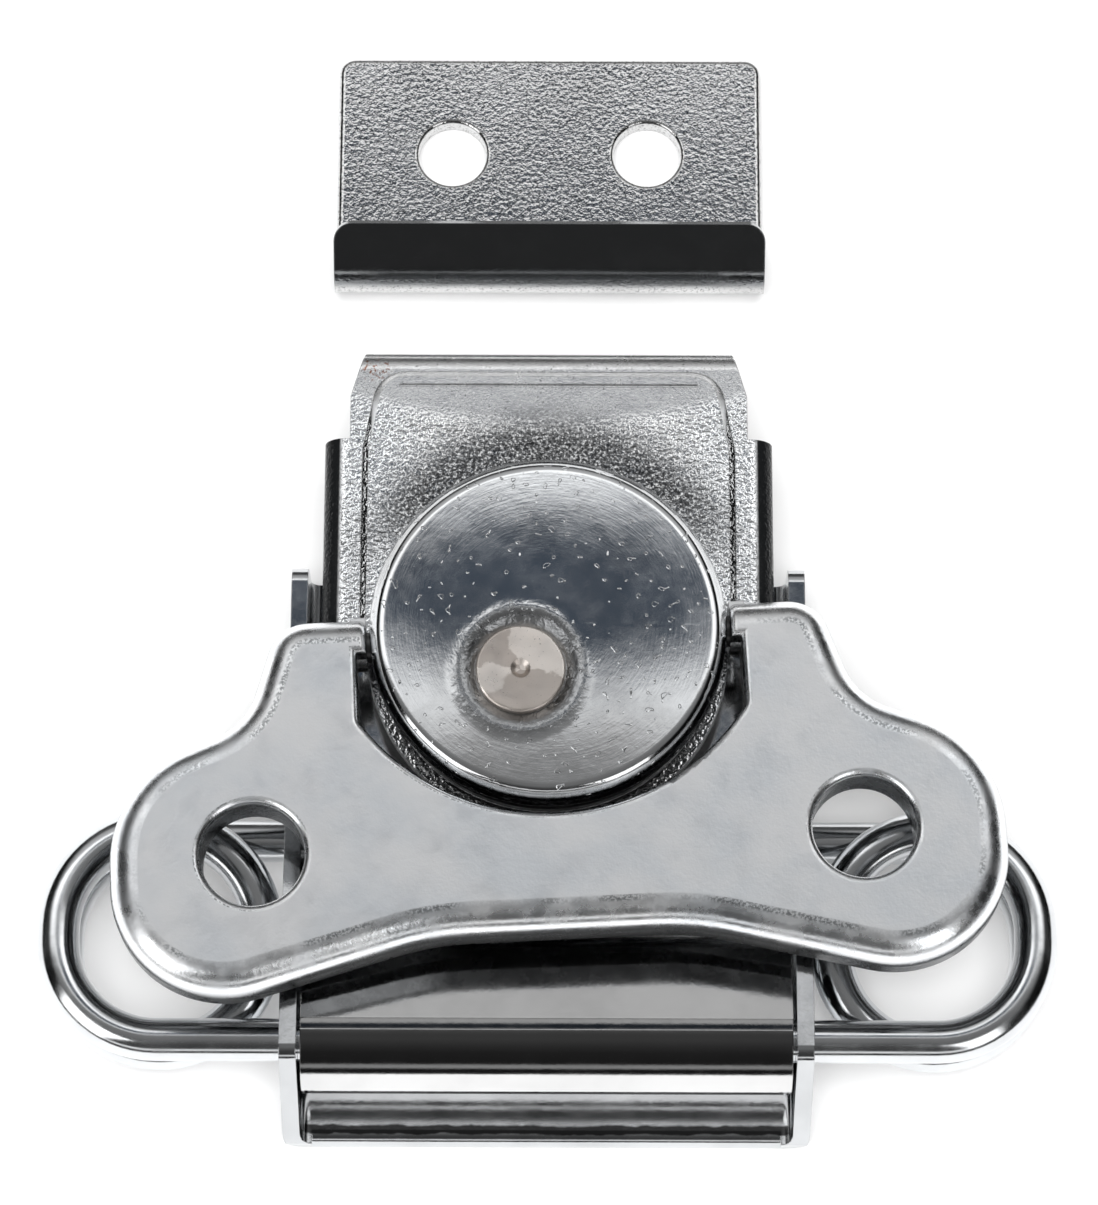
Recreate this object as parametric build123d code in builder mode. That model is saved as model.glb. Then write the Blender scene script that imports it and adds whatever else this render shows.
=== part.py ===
from build123d import *
import os
from math import cos, radians, sin, tan

# Flight case latch: a sprung rotary draw latch of plated steel sheet, with its keeper plate.
# It lies on its back. Z = 0 is the case wall, +Y runs towards the keeper, +X to the right.
# The origin is the middle of the base's four rivet holes. Lengths in mm, angles in degrees.

# Base channel
base_width = 37.0
base_sheet = 1.2
base_bend = 0.8
base_front = 15.9
base_back = -25.4
ear_height = 6.0
ear_length = 12.5
ear_round = 1.2
cheek_height = 9.0
cheek_ramp = 17.0
cheek_back = 4.8
cheek_round = 1.2
floor_end_round = 1.0
base_hole = 5.0
base_hole_span_x = 23.0
base_hole_span_y = 18.0

# Spring wire: a straight run across the base, then a coil of one and a half turns on each side
wire = 3.0
wire_gap = 0.1
run_y = -19.0
wire_floor_gap = 1.3
coil_height = 15.1
coil_bend = 7.1
coil_to_base = 0.1
tail_inside = 0.9
spring_travel = 3.0
wire_hole_gap = 0.15

# Carriage plate
carriage_sheet = 1.5
carriage_side_gap = 0.3
carriage_seat_gap = 0.9
carriage_level = 3.4
carriage_bend = 1.0
curl_gap = 0.7
curl_turn = 235.0
plate_slope = 13.0
step_foot_y = -9.3
nose_length = 6.5
nose_round = 5.0

# Pivot rivet and the eccentric cam that turns about it
eccentricity = 3.8
cam_angle = 60.0
cam_y = 8.6
rivet = 5.0
rivet_foot = 8.0
rivet_foot_thick = 0.9
rivet_face = 6.3
rivet_face_thick = 0.65
rivet_face_round = 0.2
rivet_foot_chamfer = 0.3
rivet_pip = 1.4
rivet_pip_depth = 0.3
pip_slope = 50.0
foot_washer = 11.0
foot_washer_thick = 0.8
pivot_gap = 0.08
wear_washer = 17.0
wear_washer_thick = 0.6
face_gap = 0.05
cam_flange = 20.0
cam_flange_thick = 1.8
cam_hub = 19.0

# Draw link, the hooked plate that rides on the cam
link_sheet = 1.2
link_gap = 0.2
hub_gap = 0.08
link_width = 32.4
link_bend = 0.5
link_flange = 2.4
link_neck = 28.7
link_tip = 26.5
link_tip_taper = 3.8
link_shoulder_y = 24.6
link_shoulder = 0.9
link_flange_back = 10.5
link_front = 31.65
hook_depth = 6.5
hook_bend = 0.5
link_tail = 25.6
panel_rise = 0.4
panel_border = 0.9
panel_front_gap = 0.7
panel_corner = 2.4
panel_slope = 50.0
score_width = 0.2
score_depth = 0.12
score_length = 21.6
score_gap = 1.2

# Retaining washer, hinge pins and cap disc
washer_outside = 24.0
washer_thick = 0.7
washer_gap = 0.12
hinge_pin = 2.2
hinge_height = 11.3
pin_into_hub = 4.2
pin_head_out = 0.45
pin_chamfer = 0.15
disc = 25.0
disc_thick = 2.0
disc_dome = 0.45
disc_edge = 0.75
disc_above_pin = 0.2
dimple = 8.8
dimple_depth = 0.55
dimple_round = 1.5

# Wing handle, drawn from one sheet with a turned-down rim
wing_turn = 2.96
wing_sheet = 1.1
wing_depth = 3.7
wing_top = 14.2
wing_bend = 2.1
throat_bend = 0.5
wing_back_edge = 1.65
wing_shoulder = (disc / 2 + 6.5, 3.0)
wing_waist = (disc / 2 + 8.9, -5.6, 5.0)
wing_span = 62.1
wing_lobe_top = (-9.35, 8.6)
wing_lobe_bottom = (-27.3, 8.0)
wing_hollow = (9.0, -21.5, 20.0)
throat_side_gap = 0.95
throat_foot_gap = 0.8
throat_bow = 3.7
throat_corner = 1.0
lug_length = 2.85
lug_gap = 0.25
lug_radius = 1.7
lug_sheet = 1.1
pin_lug_gap = 0.08
wing_hole = 7.2
wing_hole_x = 21.1
wing_hole_y = -15.3
collar_wall = 0.95
collar_round = 0.5

# Keeper plate
keeper_width = 32.0
keeper_sheet = 1.3
keeper_bend = 1.2
keeper_front = 58.2
keeper_back = 38.65
keeper_lip = 3.3
keeper_turn = 145.0
keeper_hole = 5.1
keeper_hole_round = 0.3
keeper_edge_round = 0.45
keeper_hole_span = 14.7
keeper_hole_y = 50.3
keeper_corner = 1.2
keeper_lip_corner = 1.4

# Levels and places worked out from the sizes above
half_base = base_width / 2
base_inner = half_base - base_sheet
tail_z = wire_floor_gap + wire / 2
run_z = tail_z + wire + wire_gap
cam_x = 0.0
pivot_x = cam_x - eccentricity * cos(radians(cam_angle))
pivot_y = cam_y - eccentricity * sin(radians(cam_angle))
carriage_top = carriage_level + carriage_sheet
cam_foot_z = carriage_top + wear_washer_thick + 2 * face_gap
link_z = cam_foot_z + cam_flange_thick + link_gap
link_top = link_z + link_sheet
panel_top = link_top + panel_rise
washer_z = panel_top + washer_gap
disc_z = hinge_height + hinge_pin / 2 + disc_above_pin
disc_top = disc_z + disc_thick
wing_plane = Plane(
    origin=(cam_x, cam_y, 0),
    x_dir=(cos(radians(wing_turn)), sin(radians(wing_turn)), 0),
    z_dir=(0, 0, 1),
)
lug_inner = disc / 2 + lug_gap
lug_outer = lug_inner + lug_sheet

os.makedirs("parts", exist_ok=True)

# Base channel: a floor with two cheeks bent up, the cheeks low at the front and high at the wire
with BuildPart() as base_channel:
    with BuildSketch(Plane.XZ.offset(-base_front)) as base_section:
        with BuildLine() as base_midline:
            mid_x = half_base - base_sheet / 2
            mid_z = base_sheet / 2
            FilletPolyline(
                (-mid_x, cheek_height),
                (-mid_x, mid_z),
                (mid_x, mid_z),
                (mid_x, cheek_height),
                radius=base_bend + base_sheet / 2,
            )
        trace(line_width=base_sheet)
    extrude(amount=base_front - base_back)
    with BuildSketch(Plane.YZ) as cheek_outline:
        with BuildLine():
            ramp_start = base_front - ear_length
            Polyline(
                (base_back, 0),
                (base_front, 0),
                (base_front, ear_height),
                (ramp_start, ear_height),
                (ramp_start - cheek_ramp, cheek_height),
                (base_back + cheek_back, cheek_height),
                (base_back, base_sheet),
                (base_back, 0),
            )
        make_face()
        fillet(cheek_outline.vertices().group_by(Axis.Y)[-1], cheek_round)
        ear_corner = cheek_outline.vertices().group_by(Axis.X)[-1].sort_by(Axis.Y)[-1]
        fillet(ear_corner, ear_round)
    extrude(amount=base_width, both=True, mode=Mode.INTERSECT)
    with BuildSketch(Plane.YZ) as floor_end:
        with Locations((base_back, base_sheet)):
            Rectangle(2 * floor_end_round, 2 * floor_end_round)
        with Locations((base_back + floor_end_round, base_sheet - floor_end_round)):
            Circle(floor_end_round, mode=Mode.SUBTRACT)
    extrude(amount=base_inner - base_bend, both=True, mode=Mode.SUBTRACT)
    with BuildSketch() as base_holes:
        with GridLocations(base_hole_span_x, base_hole_span_y, 2, 2):
            Circle(base_hole / 2)
    extrude(amount=base_sheet, mode=Mode.SUBTRACT)
    with BuildSketch(Plane.YZ) as wire_openings:
        with Locations((run_y + spring_travel / 2, run_z)):
            SlotCenterToCenter(spring_travel, wire + 2 * wire_hole_gap)
        with Locations((run_y + coil_height, tail_z)):
            Circle(wire / 2 + wire_hole_gap)
    extrude(amount=base_width, both=True, mode=Mode.SUBTRACT)
base_channel.part.label = "base_channel"
export_step(base_channel.part, "parts/base_channel.step")

# Spring wire: the run crosses the base high up, each coil drops to the low layer on its inner
# side, and each tail passes through a cheek. Every bend is a true arc, level or tilted.
coil_x = half_base + coil_to_base + wire / 2 + coil_bend
top_y = run_y + coil_height
tilt = Vector(0, -coil_height, tail_z - run_z).normalized()
side = Vector(1, 0, 0)
up = Vector(0, 1, 0)
with BuildPart() as spring_wire:
    with BuildLine() as wire_path:
        high_low_end = Vector(coil_x, run_y, run_z)
        high_top_end = Vector(coil_x, top_y, run_z)
        low_bottom_end = Vector(coil_x, run_y, tail_z)
        low_top_end = Vector(coil_x, top_y, tail_z)
        diagonal = coil_bend * (1 - cos(radians(45)))
        for start, end, along, outward in (
            (high_low_end, high_top_end, up, side),
            (high_top_end, low_bottom_end, tilt, -side),
            (low_bottom_end, low_top_end, up, side),
        ):
            first = start + outward * coil_bend + along * coil_bend
            second = end + outward * coil_bend - along * coil_bend
            reach = outward * (coil_bend - diagonal)
            ThreePointArc(start, start + reach + along * diagonal, first)
            Line(first, second)
            ThreePointArc(second, end + reach - along * diagonal, end)
        Line((0, run_y, run_z), high_low_end)
        Line(low_top_end, (base_inner - tail_inside, top_y, tail_z))
    with BuildSketch(Plane(origin=(0, run_y, run_z), x_dir=(0, 1, 0), z_dir=(1, 0, 0))):
        Circle(wire / 2)
    sweep(path=wire_path.wires()[0])
    mirror(about=Plane.YZ)
spring_wire.part.label = "spring_wire"
export_step(spring_wire.part, "parts/spring_wire.step")

# Carriage plate: a flat seat for the cam, a step up, then a sloping plate that runs into a curl
# round the wire's straight run
curl_radius = wire / 2 + curl_gap + carriage_sheet / 2
curl_start_y = run_y + curl_radius * sin(radians(plate_slope))
curl_start_z = run_z + curl_radius * cos(radians(plate_slope))
plate_fall = tan(radians(plate_slope))
low_z = carriage_level + carriage_sheet / 2
step_rise = (curl_start_z - low_z - plate_fall * (step_foot_y - curl_start_y)) / (1 - plate_fall)
carriage_width = 2 * (base_inner - carriage_side_gap)
seat_width = 2 * (base_inner - tail_inside - carriage_seat_gap)
with BuildPart() as carriage_plate:
    with BuildSketch(Plane.YZ) as carriage_section:
        with BuildLine() as carriage_midline:
            flat = FilletPolyline(
                (pivot_y + nose_length, low_z),
                (step_foot_y, low_z),
                (step_foot_y - step_rise, low_z + step_rise),
                (curl_start_y, curl_start_z),
                radius=carriage_bend + carriage_sheet / 2,
            )
            JernArc(flat @ 1, flat % 1, curl_radius, curl_turn + plate_slope)
        trace(line_width=carriage_sheet)
    extrude(amount=carriage_width / 2, both=True)
    with BuildSketch() as carriage_plan:
        nose_y = pivot_y + nose_length
        plan_length = nose_y - run_y + 2 * curl_radius
        with Locations((0, nose_y - plan_length / 2)):
            Rectangle(seat_width, plan_length)
        fillet(carriage_plan.vertices().group_by(Axis.Y)[-1], nose_round)
        with Locations((0, step_foot_y)):
            Rectangle(carriage_width, plan_length, align=(Align.CENTER, Align.MAX))
    extrude(amount=run_z + 2 * curl_radius, mode=Mode.INTERSECT)
    with BuildSketch(Plane.XY.offset(carriage_level)) as carriage_bore:
        with Locations((pivot_x, pivot_y)):
            Circle(rivet / 2 + pivot_gap)
    extrude(amount=carriage_sheet, mode=Mode.SUBTRACT)
carriage_plate.part.label = "carriage_plate"
export_step(carriage_plate.part, "parts/carriage_plate.step")

# Pivot rivet: foot below the carriage, plain shank, and a formed face that shows in the disc
rivet_face_z = disc_top + disc_dome - dimple_depth + face_gap
with BuildPart() as pivot_rivet:
    with BuildSketch(Plane.XZ) as rivet_profile:
        with BuildLine():
            foot_z = carriage_level - foot_washer_thick - 2 * face_gap - rivet_foot_thick
            face_end = rivet_face_z + rivet_face_thick
            Polyline(
                (0, foot_z),
                (rivet_foot / 2, foot_z),
                (rivet_foot / 2, foot_z + rivet_foot_thick),
                (rivet / 2, foot_z + rivet_foot_thick),
                (rivet / 2, rivet_face_z),
                (rivet_face / 2, rivet_face_z),
                (rivet_face / 2, face_end),
                (0, face_end),
                (0, foot_z),
            )
        make_face()
    revolve(axis=Axis.Z)
    chamfer(pivot_rivet.edges().group_by(Axis.Z)[0], rivet_foot_chamfer)
    fillet(pivot_rivet.edges().group_by(Axis.Z)[-1], rivet_face_round)
    with BuildSketch(Plane.XY.offset(face_end)):
        Circle(rivet_pip / 2)
    extrude(amount=-rivet_pip_depth, taper=pip_slope, mode=Mode.SUBTRACT)
pivot_rivet.part = pivot_rivet.part.moved(Location((pivot_x, pivot_y, 0)))
pivot_rivet.part.label = "pivot_rivet"
export_step(pivot_rivet.part, "parts/pivot_rivet.step")


def flat_washer(outside, bore, z, thickness, x, y):
    """A plain flat washer centred on (x, y) with its underside at z."""
    with BuildPart() as washer:
        with BuildSketch(Plane.XY.offset(z)):
            with Locations((x, y)):
                Circle(outside / 2)
                Circle(bore / 2, mode=Mode.SUBTRACT)
        extrude(amount=thickness)
    return washer.part


rivet_bore = rivet + 2 * pivot_gap
foot_washer_z = carriage_level - foot_washer_thick - face_gap
rivet_washer = flat_washer(foot_washer, rivet_bore, foot_washer_z, foot_washer_thick, pivot_x, pivot_y)
rivet_washer.label = "rivet_washer"
export_step(rivet_washer, "parts/rivet_washer.step")

thrust_washer_z = carriage_top + face_gap
thrust_washer = flat_washer(wear_washer, rivet_bore, thrust_washer_z, wear_washer_thick, pivot_x, pivot_y)
thrust_washer.label = "thrust_washer"
export_step(thrust_washer, "parts/thrust_washer.step")

# Cam hub: a turned eccentric with a flange under the link and a blind bore for each hinge pin
with BuildPart() as cam_hub_body:
    with BuildSketch(Plane.XY.offset(cam_foot_z)):
        with Locations((cam_x, cam_y)):
            Circle(cam_flange / 2)
    extrude(amount=cam_flange_thick)
    with BuildSketch(Plane.XY.offset(cam_foot_z + cam_flange_thick)):
        with Locations((cam_x, cam_y)):
            Circle(cam_hub / 2)
    extrude(amount=disc_z - cam_foot_z - cam_flange_thick)
    with BuildSketch(Plane.XY.offset(cam_foot_z)):
        with Locations((pivot_x, pivot_y)):
            Circle(rivet_bore / 2)
    extrude(amount=disc_z - cam_foot_z, mode=Mode.SUBTRACT)
    for hand in (1, -1):
        pin_end = wing_plane.from_local_coords(Vector(hand * (cam_hub / 2 - pin_into_hub), 0, hinge_height))
        bore_plane = Plane(origin=pin_end, z_dir=wing_plane.x_dir * hand)
        with BuildSketch(bore_plane):
            Circle(hinge_pin / 2)
        extrude(amount=pin_into_hub + hinge_pin, mode=Mode.SUBTRACT)
cam_hub_body.part.label = "cam_hub"
export_step(cam_hub_body.part, "parts/cam_hub.step")

# Hinge pins: one pressed into each side of the hub, carrying a lug of the wing
for hand, pin_name in ((1, "hinge_pin_right"), (-1, "hinge_pin_left")):
    pin_start = wing_plane.from_local_coords(Vector(hand * (cam_hub / 2 - pin_into_hub), 0, hinge_height))
    pin_length = lug_outer + pin_head_out - (cam_hub / 2 - pin_into_hub)
    with BuildPart() as hinge_pin_body:
        with BuildSketch(Plane(origin=pin_start, z_dir=wing_plane.x_dir * hand)):
            Circle(hinge_pin / 2)
        extrude(amount=pin_length)
        chamfer(hinge_pin_body.edges().sort_by_distance(pin_start)[-1], pin_chamfer)
    hinge_pin_body.part.label = pin_name
    export_step(hinge_pin_body.part, f"parts/{pin_name}.step")

# Retaining washer: holds the link down on the cam flange, itself held by the hinge pins
retaining_bore = cam_hub + 2 * hub_gap
retaining_washer = flat_washer(
    washer_outside, retaining_bore, washer_z, washer_thick, cam_x, cam_y
)
retaining_washer.label = "retaining_washer"
export_step(retaining_washer, "parts/retaining_washer.step")

# Cap disc: a slightly domed disc with a rolled edge, dimpled round the rivet
with BuildPart() as cap_disc:
    with BuildSketch(Plane.XZ) as disc_profile:
        with BuildLine():
            disc_peak = disc_top + disc_dome
            dome_radius = (disc**2 / 4 + disc_dome**2) / (2 * disc_dome)
            halfway_drop = dome_radius - (dome_radius**2 - disc**2 / 16) ** 0.5
            Polyline((0, disc_peak), (0, disc_z), (disc / 2, disc_z), (disc / 2, disc_top))
            ThreePointArc((disc / 2, disc_top), (disc / 4, disc_peak - halfway_drop), (0, disc_peak))
        make_face()
        rim_corners = disc_profile.vertices().group_by(Axis.X)[-1]
        fillet(rim_corners.sort_by(Axis.Y)[-1], disc_edge)
    revolve(axis=Axis.Z)
    dimple_plane = Plane.XY.offset(disc_peak - dimple_depth)
    with BuildSketch(dimple_plane) as dimple_floor:
        with Locations((pivot_x - cam_x, pivot_y - cam_y)):
            Circle(rivet_face / 2 + pivot_gap)
    with BuildSketch(dimple_plane.offset(dimple_depth)) as dimple_rim:
        with Locations((pivot_x - cam_x, pivot_y - cam_y)):
            Circle(dimple / 2)
    loft(mode=Mode.SUBTRACT)
    fillet(cap_disc.edges(Select.LAST).sort_by(SortBy.LENGTH)[-1], dimple_round)
    with BuildSketch(Plane.XY.offset(disc_z)):
        with Locations((pivot_x - cam_x, pivot_y - cam_y)):
            Circle(rivet_bore / 2)
    extrude(amount=disc_thick, mode=Mode.SUBTRACT)
cap_disc.part = cap_disc.part.moved(Location((cam_x, cam_y, 0)))
cap_disc.part.label = "cap_disc"
export_step(cap_disc.part, "parts/cap_disc.step")

# Draw link: a strap plate with side flanges bent down, a raised panel, a round tail about the
# cam, and a hook bent down at the front
neck_half = link_neck / 2
with BuildPart() as draw_link:
    flange_mid_x = (link_width - link_sheet) / 2
    flange_foot = link_top - link_flange
    with BuildSketch(Plane.XZ.offset(-link_shoulder_y)) as flanged_section:
        with BuildLine():
            plate_mid = link_z + link_sheet / 2
            FilletPolyline(
                (-flange_mid_x, flange_foot),
                (-flange_mid_x, plate_mid),
                (flange_mid_x, plate_mid),
                (flange_mid_x, flange_foot),
                radius=link_bend + link_sheet / 2,
            )
        trace(line_width=link_sheet)
    extrude(amount=link_shoulder_y - link_flange_back)
    with BuildSketch(Plane.YZ) as hook_section:
        with BuildLine():
            hook_mid_y = link_front - link_sheet / 2
            FilletPolyline(
                (link_flange_back, plate_mid),
                (hook_mid_y, plate_mid),
                (hook_mid_y, link_top - hook_depth),
                radius=hook_bend + link_sheet / 2,
            )
        trace(line_width=link_sheet)
    extrude(amount=neck_half, both=True)
    tip_half = link_tip / 2
    for hand in (1, -1):
        with BuildSketch(Plane.XY.offset(link_top - hook_depth)) as tip_taper:
            with BuildLine():
                Polyline(
                    (hand * tip_half, link_front),
                    (hand * neck_half, link_front - link_tip_taper),
                    (hand * neck_half, link_front),
                    (hand * tip_half, link_front),
                )
            make_face()
        extrude(amount=hook_depth, mode=Mode.SUBTRACT)
    with BuildSketch(Plane.XY.offset(link_z)) as link_tail_plan:
        with Locations((cam_x, cam_y)):
            Circle(link_tail / 2)
    extrude(amount=link_sheet)
    with BuildSketch(Plane.XY.offset(link_top)) as panel:
        panel_front = link_front - link_sheet - panel_front_gap
        panel_back = link_shoulder_y - link_shoulder
        with BuildLine():
            front_half = tip_half - panel_border
            back_half = neck_half - panel_border
            Polyline(
                (-back_half, cam_y),
                (back_half, cam_y),
                (back_half, panel_back),
                (front_half, panel_front),
                (-front_half, panel_front),
                (-back_half, panel_back),
                (-back_half, cam_y),
            )
        make_face()
        fillet(panel.vertices().group_by(Axis.Y)[-1], panel_corner)
    extrude(amount=panel_rise, taper=panel_slope)
    with BuildSketch(Plane.XY.offset(link_top)) as tail_panel:
        with Locations((cam_x, cam_y)):
            Circle(link_tail / 2 - panel_border)
    extrude(amount=panel_rise, taper=panel_slope)
    with BuildSketch(Plane.XY.offset(panel_top)) as score_line:
        with Locations((0, panel_front - score_gap)):
            Rectangle(score_length, score_width)
    extrude(amount=-score_depth, mode=Mode.SUBTRACT)
    with BuildSketch(Plane.XY.offset(link_z)) as panel_under:
        with BuildLine():
            front_under = front_half - link_sheet
            back_under = back_half - link_sheet
            Polyline(
                (-back_under, cam_y),
                (-back_under, panel_back),
                (-front_under, panel_front - link_sheet),
                (front_under, panel_front - link_sheet),
                (back_under, panel_back),
                (back_under, cam_y),
                (-back_under, cam_y),
            )
        make_face()
    extrude(amount=panel_rise, mode=Mode.SUBTRACT)
    with BuildSketch(Plane.XY.offset(link_z)) as hub_hole:
        with Locations((cam_x, cam_y)):
            Circle(cam_hub / 2 + hub_gap)
    extrude(amount=link_sheet + panel_rise, mode=Mode.SUBTRACT)
draw_link.part.label = "draw_link"
export_step(draw_link.part, "parts/draw_link.step")

# Wing handle: drawn from one sheet. The outline and the throat share one profile, whose edges are
# all turned down; two lugs hang beside the disc, and each finger hole has a plunged collar.
half_span = wing_span / 2
throat_half = disc / 2 + throat_side_gap
throat_depth = disc / 2 + throat_foot_gap
throat_arc = disc / 2 + throat_bow
arc_centre_y = throat_arc - throat_depth
throat_foot = arc_centre_y - (throat_arc**2 - throat_half**2) ** 0.5
lug_end = wing_back_edge - lug_length
with BuildPart() as wing_handle:
    wing_foot = wing_top - wing_depth
    with BuildSketch(wing_plane.offset(wing_foot)) as wing_outline:
        with BuildLine() as wing_half:
            Polyline(
                (0, wing_back_edge),
                (wing_shoulder[0], wing_back_edge),
                (wing_waist[0], wing_waist[1]),
                (half_span, wing_lobe_top[0]),
                (half_span, wing_lobe_bottom[0]),
                (wing_hollow[0], wing_hollow[1]),
                (0, wing_hollow[1]),
                (0, wing_back_edge),
            )
        make_face()
        mirror(about=Plane.YZ)
        for x, y, round_radius in (
            (wing_shoulder[0], wing_back_edge, wing_shoulder[1]),
            wing_waist,
            (half_span, wing_lobe_top[0], wing_lobe_top[1]),
            (half_span, wing_lobe_bottom[0], wing_lobe_bottom[1]),
            wing_hollow,
        ):
            for hand in (1, -1):
                corner = wing_outline.vertices().sort_by_distance(Vector(hand * x, y))[0]
                fillet(corner, round_radius)
        with BuildSketch(mode=Mode.PRIVATE) as throat:
            with BuildLine():
                Line((-throat_half, throat_foot), (-throat_half, lug_end))
                Line((-throat_half, lug_end), (-lug_inner, lug_end))
                Line((-lug_inner, lug_end), (-lug_inner, 2 * wing_back_edge))
                Line((-lug_inner, 2 * wing_back_edge), (lug_inner, 2 * wing_back_edge))
                Line((lug_inner, 2 * wing_back_edge), (lug_inner, lug_end))
                Line((lug_inner, lug_end), (throat_half, lug_end))
                Line((throat_half, lug_end), (throat_half, throat_foot))
                ThreePointArc(
                    (throat_half, throat_foot),
                    (0, -throat_depth),
                    (-throat_half, throat_foot),
                )
            make_face()
            fillet(throat.vertices().group_by(Axis.Y)[0], throat_corner)
        add(throat.sketch, mode=Mode.SUBTRACT)
    extrude(amount=wing_depth)
    cam_middle = Vector(cam_x, cam_y, wing_top)
    throat_reach = throat_half + wing_back_edge

    def from_cam(edge):
        return (edge.center() - cam_middle).length

    outer_rim = wing_handle.faces().sort_by(Axis.Z)[-1].edges()
    fillet(outer_rim.filter_by(lambda edge: from_cam(edge) > throat_reach), wing_bend)
    throat_rim = wing_handle.faces().sort_by(Axis.Z)[-1].edges()
    fillet(throat_rim.filter_by(lambda edge: from_cam(edge) < throat_reach), throat_bend)
    with BuildSketch(wing_plane.offset(wing_foot)) as wing_inside:
        add(wing_outline.sketch_local)
        offset(amount=-wing_sheet, kind=Kind.INTERSECTION)
    extrude(amount=wing_depth - wing_sheet, mode=Mode.SUBTRACT)
    inner_rim = wing_handle.edges(Select.LAST).group_by(Axis.Z)[-1]
    inner_bend = wing_bend - wing_sheet
    fillet(inner_rim.filter_by(lambda edge: from_cam(edge) > throat_reach + wing_sheet), inner_bend)
    with BuildSketch(wing_plane.offset(wing_foot)) as collars:
        with Locations((wing_hole_x, wing_hole_y), (-wing_hole_x, wing_hole_y)):
            Circle(wing_hole / 2 + collar_wall)
    extrude(amount=wing_depth - wing_sheet)
    with BuildSketch(wing_plane.offset(wing_foot)) as finger_holes:
        with Locations((wing_hole_x, wing_hole_y), (-wing_hole_x, wing_hole_y)):
            Circle(wing_hole / 2)
    extrude(amount=wing_depth, mode=Mode.SUBTRACT)
    hole_rims = wing_handle.edges().filter_by(GeomType.CIRCLE).group_by(Axis.Z)[-1]
    fillet(hole_rims, collar_round)
    for hand in (1, -1):
        lug_face = wing_plane.from_local_coords(Vector(hand * lug_inner, 0, 0))
        lug_plane = Plane(origin=lug_face, x_dir=wing_plane.y_dir * hand, z_dir=wing_plane.x_dir * hand)
        with BuildSketch(lug_plane) as lug:
            with Locations((0, hinge_height)):
                Circle(lug_radius)
            lug_middle = hand * (wing_back_edge + lug_end) / 2
            with Locations((lug_middle, (hinge_height + wing_top - wing_sheet) / 2)):
                Rectangle(lug_length, wing_top - wing_sheet - hinge_height)
        extrude(amount=lug_sheet)
        with BuildSketch(lug_plane) as pin_hole:
            with Locations((0, hinge_height)):
                Circle(hinge_pin / 2 + pin_lug_gap)
        extrude(amount=lug_sheet + pin_head_out + pin_lug_gap, mode=Mode.SUBTRACT)
wing_handle.part.label = "wing_handle"
export_step(wing_handle.part, "parts/wing_handle.step")

# Keeper plate: a flat plate with two holes, its near edge turned up and back into a hook
keeper_middle = keeper_bend + keeper_sheet / 2
with BuildPart() as keeper_plate:
    with BuildSketch(Plane.YZ) as keeper_section:
        with BuildLine():
            bend_y = keeper_back + keeper_middle + keeper_sheet / 2
            plate_line = Line((keeper_front, keeper_sheet / 2), (bend_y, keeper_sheet / 2))
            turn_arc = JernArc(plate_line @ 1, plate_line % 1, keeper_middle, -keeper_turn)
            lip_line = Line(turn_arc @ 1, turn_arc @ 1 + (turn_arc % 1) * keeper_lip)
        trace(line_width=keeper_sheet)
    extrude(amount=keeper_width / 2, both=True)
    plate_ends = keeper_plate.edges().filter_by(Axis.Z).group_by(Axis.Y)[-1]
    fillet(plate_ends, keeper_corner)
    lip_end = lip_line @ 1
    for hand in (1, -1):
        lip_corner = Vector(hand * keeper_width / 2, lip_end.X, lip_end.Y)
        fillet(keeper_plate.edges().sort_by_distance(lip_corner)[0], keeper_lip_corner)
    plate_face = keeper_plate.faces().filter_by(Axis.Z).sort_by(Axis.Z)[-1]
    fillet(plate_face.edges().sort_by(Axis.Y)[1:], keeper_edge_round)
    with BuildSketch() as keeper_holes:
        with Locations((0, keeper_hole_y)):
            with GridLocations(keeper_hole_span, 0, 2, 1):
                Circle(keeper_hole / 2)
    extrude(amount=keeper_sheet, mode=Mode.SUBTRACT)
    fillet(keeper_plate.edges(Select.LAST).group_by(Axis.Z)[-1], keeper_hole_round)
keeper_plate.part.label = "keeper_plate"
export_step(keeper_plate.part, "parts/keeper_plate.step")
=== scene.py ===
# %% [markdown]
# # A flight case latch in plated steel
# This scene takes the shape of the latch from its CAD frame and gives it its looks: the plated
# and satin finishes, the floor, the light and the camera. The frame is in metres, so `MM` turns
# millimetres into metres. Finishes are written in millimetres and degrees, which are easier to
# read.

import math

import bpy
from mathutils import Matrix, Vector


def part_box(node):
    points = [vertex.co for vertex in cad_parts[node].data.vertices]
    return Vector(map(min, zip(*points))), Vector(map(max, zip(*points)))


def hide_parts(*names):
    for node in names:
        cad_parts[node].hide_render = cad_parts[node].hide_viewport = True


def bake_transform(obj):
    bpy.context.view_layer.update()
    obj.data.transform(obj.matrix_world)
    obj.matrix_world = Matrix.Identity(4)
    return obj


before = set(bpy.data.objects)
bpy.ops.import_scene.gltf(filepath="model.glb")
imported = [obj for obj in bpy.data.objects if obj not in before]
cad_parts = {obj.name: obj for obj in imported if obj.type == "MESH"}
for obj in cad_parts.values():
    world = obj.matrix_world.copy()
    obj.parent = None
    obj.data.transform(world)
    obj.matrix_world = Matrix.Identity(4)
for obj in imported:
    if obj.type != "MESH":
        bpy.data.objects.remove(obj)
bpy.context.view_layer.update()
MM = 0.001
print("nodes:", sorted(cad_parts))

# %% [markdown]
# ## Words for nodes
# A finish is a graph of shader nodes. Built by hand in the editor it is quick to see and slow to
# change. Built by a few short helpers, each recipe reads like a sentence and one number changes
# it. All of the noise is laid out in the object's own space, so it rides with each piece when it
# moves.


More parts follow.
